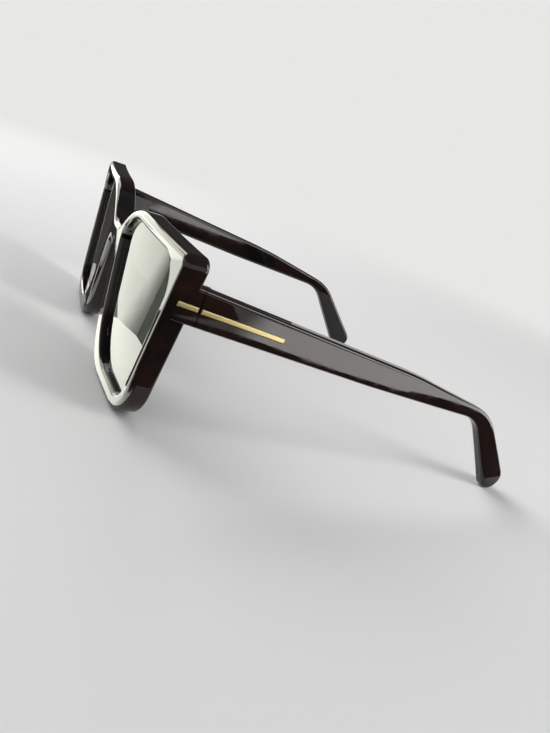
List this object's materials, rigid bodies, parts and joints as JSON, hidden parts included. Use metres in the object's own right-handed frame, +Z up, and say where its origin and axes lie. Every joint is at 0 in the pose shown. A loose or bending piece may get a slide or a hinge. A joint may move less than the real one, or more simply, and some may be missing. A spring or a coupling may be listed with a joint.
{
  "type": "sunglasses",
  "caption": "Oversized square sunglasses in glossy black acetate with tinted lenses, plain gold bars along the sides and temples that fold on barrel hinges.",
  "frame": {"origin": "under the middle of the whole object, on the table that the rims and the temple tips rest on", "axes": "+X to the wearer's left, +Y to the back along the temples, +Z up"},
  "size_m": [0.1454, 0.1456, 0.0542],
  "materials": {
    "acetate": "polished",
    "lens": "polished, grey green tint",
    "steel": "satin",
    "gold": "polished"
  },
  "bodies": {
    "front": {"frame_front": "acetate", "lens_left": "lens", "lens_right": "lens", "nose_pad_left": "acetate", "nose_pad_right": "acetate", "endpiece_trim_left": "gold", "endpiece_trim_right": "gold", "front_hinge_left": "steel", "front_hinge_right": "steel", "hinge_rivets_left": "steel", "hinge_rivets_right": "steel", "hinge_screw_left": "steel", "hinge_screw_right": "steel"},
    "left_temple": {"temple_left": "acetate", "temple_hinge_left": "steel", "temple_core_left": "steel", "temple_trim_left": "gold"},
    "right_temple": {"temple_right": "acetate", "temple_hinge_right": "steel", "temple_core_right": "steel", "temple_trim_right": "gold"}
  },
  "joints": [
    {"name": "left_fold", "type": "hinge", "parent": "front", "child": "left_temple", "pos_m": [0.06459, -0.05862, 0.0412], "axis": [0, 0, 1], "range_deg": [0, 91]},
    {"name": "right_fold", "type": "hinge", "parent": "front", "child": "right_temple", "pos_m": [-0.06459, -0.05862, 0.0412], "axis": [0, 0, -1], "range_deg": [0, 84]}
  ]
}
